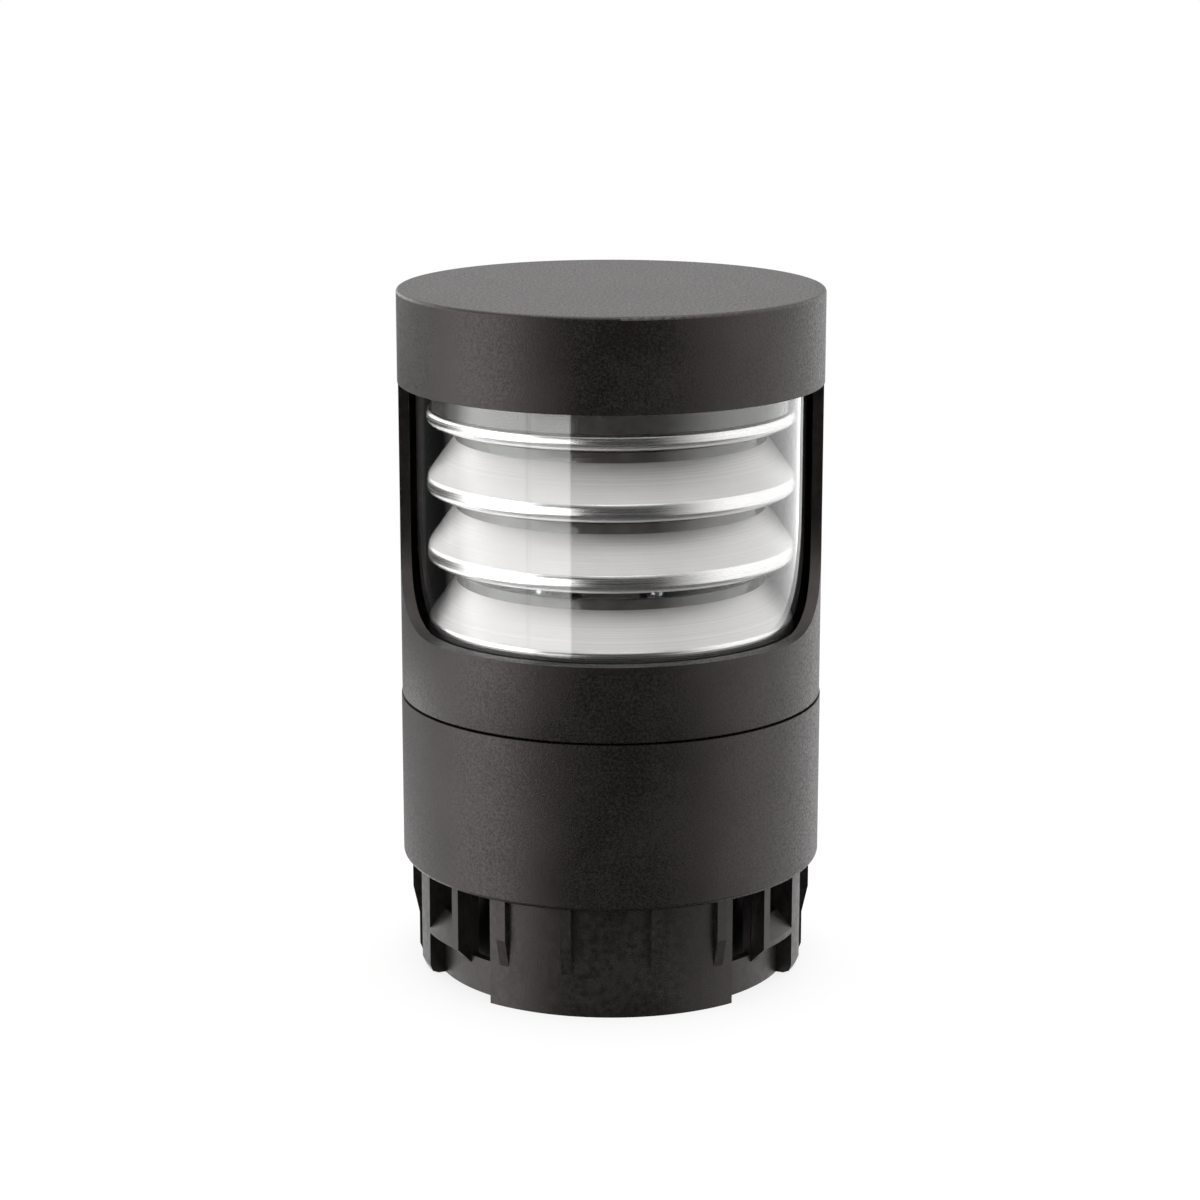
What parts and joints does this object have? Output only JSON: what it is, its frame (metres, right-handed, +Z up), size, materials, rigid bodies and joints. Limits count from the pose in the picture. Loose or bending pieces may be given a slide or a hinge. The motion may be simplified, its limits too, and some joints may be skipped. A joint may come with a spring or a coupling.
{
  "type": "bollard light",
  "caption": "Round louvred bollard light head with one wide front window, a clear glass tube and a ribbed spigot that drops into a tube pole.",
  "frame": {"origin": "centre of the flat foot of the spigot, on the main axis", "axes": "+Z up along the main axis, -Y out of the front window, +X to the right seen from the front"},
  "size_m": [0.15, 0.15, 0.244],
  "materials": {
    "powder_coat": "fine texture",
    "spigot_coat": "fine texture",
    "clear_glass": "clear",
    "louvre_aluminium": "satin",
    "bare_aluminium": "satin",
    "steel": "zinc plated",
    "pin_brass": "bright",
    "seal_rubber": "matte",
    "board_white": "solder mask",
    "chip_phosphor": "phosphor",
    "driver_case": "moulded",
    "terminal_plastic": "moulded",
    "gland_plastic": "moulded"
  },
  "bodies": {
    "base": {"base_ring": "powder_coat", "bracket_screws": "steel", "cable_gland": "gland_plastic", "driver": "driver_case", "driver_bracket": "steel", "earth_screw": "steel", "gland_lock_nut": "gland_plastic", "gland_nut": "gland_plastic", "gland_seal": "seal_rubber", "head_grub_screws": "steel", "seam_gasket": "seal_rubber", "socket_connector": "terminal_plastic", "spigot": "spigot_coat", "spigot_screws": "steel", "terminal_block": "terminal_plastic", "terminal_screws": "steel"},
    "head": {"window_cage": "powder_coat", "top_cap": "powder_coat", "glass_tube": "clear_glass", "lower_glass_seal": "seal_rubber", "upper_glass_seal": "seal_rubber", "louvre_lower": "louvre_aluminium", "louvre_middle": "louvre_aluminium", "louvre_upper": "louvre_aluminium", "louvre_collar": "louvre_aluminium", "rod_spacers": "steel", "louvre_posts": "steel", "tie_rods": "steel", "tie_rod_nuts": "steel", "optic_floor": "bare_aluminium", "top_reflector": "louvre_aluminium", "led_column": "bare_aluminium", "column_screws": "steel", "led_boards": "board_white", "led_chips": "chip_phosphor", "plug_connector": "terminal_plastic", "plug_pins": "pin_brass"}
  },
  "joints": [
    {"name": "head_lift", "type": "slide", "parent": "base", "child": "head", "axis": [0, 0, 1], "range_m": [0, 0.04]}
  ]
}
